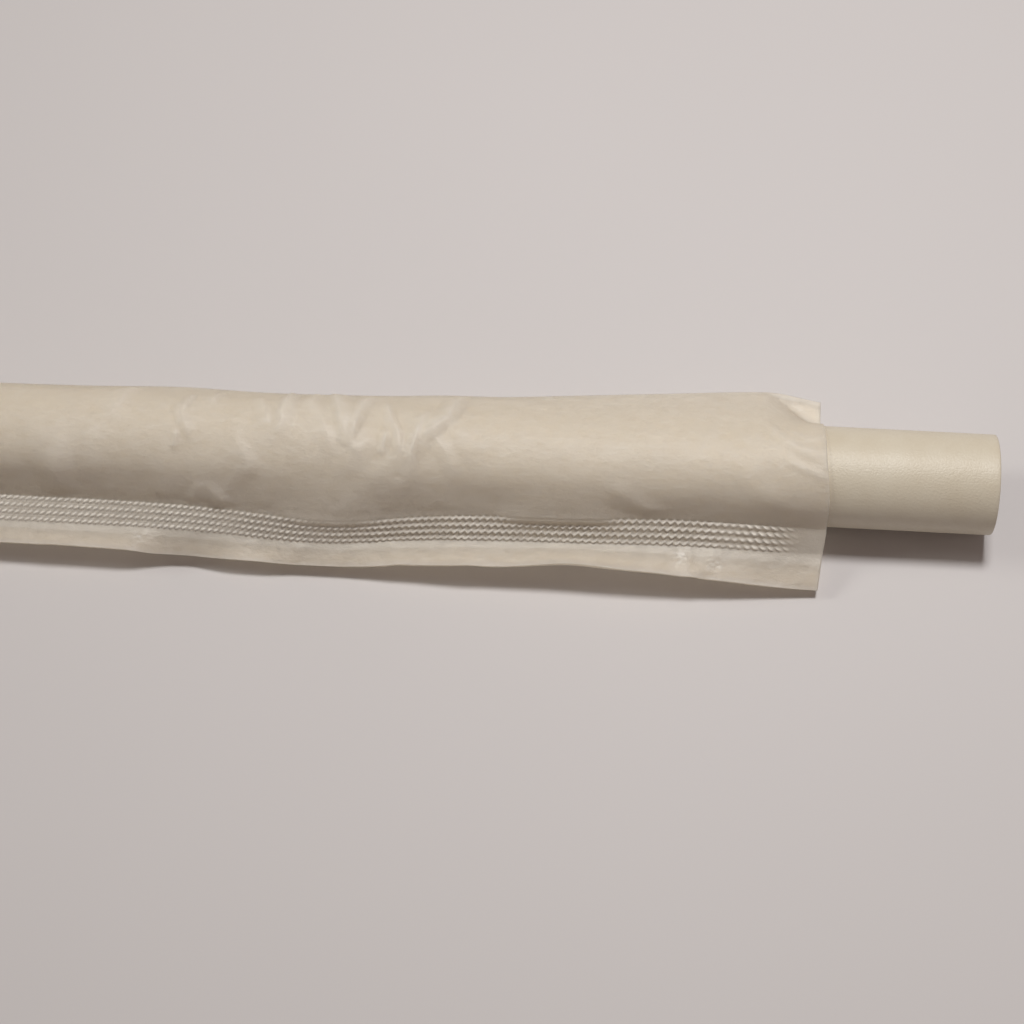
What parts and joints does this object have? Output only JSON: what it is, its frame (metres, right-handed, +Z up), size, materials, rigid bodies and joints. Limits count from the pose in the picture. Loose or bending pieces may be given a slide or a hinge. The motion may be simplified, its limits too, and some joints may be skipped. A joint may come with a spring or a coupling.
{
  "type": "wrapped drinking straw",
  "caption": "Wide paper drinking straw part way out of its crimped paper wrapper; it slides right out, and drinks go up its open bore.",
  "frame": {"origin": "centre of the flat strip the wrapper rests on, under the straw's axis and half way along the wrapper", "axes": "+X along the straw towards its bare tip, +Z up, so the crimped seam lies on the -Y side"},
  "size_m": [0.2482, 0.0284, 0.0125],
  "materials": {
    "straw_paper": "smooth wound paper with a faint calendered sheen",
    "wrapper_paper": "thin uncoated paper, slightly see-through, creased"
  },
  "bodies": {
    "wrapper": {"wrapper": "wrapper_paper"},
    "straw": {"straw": "straw_paper"}
  },
  "joints": [
    {"name": "straw_slide", "type": "slide", "parent": "wrapper", "child": "straw", "axis": [1, 0, 0], "range_m": [-0.0202, 0.185]}
  ]
}
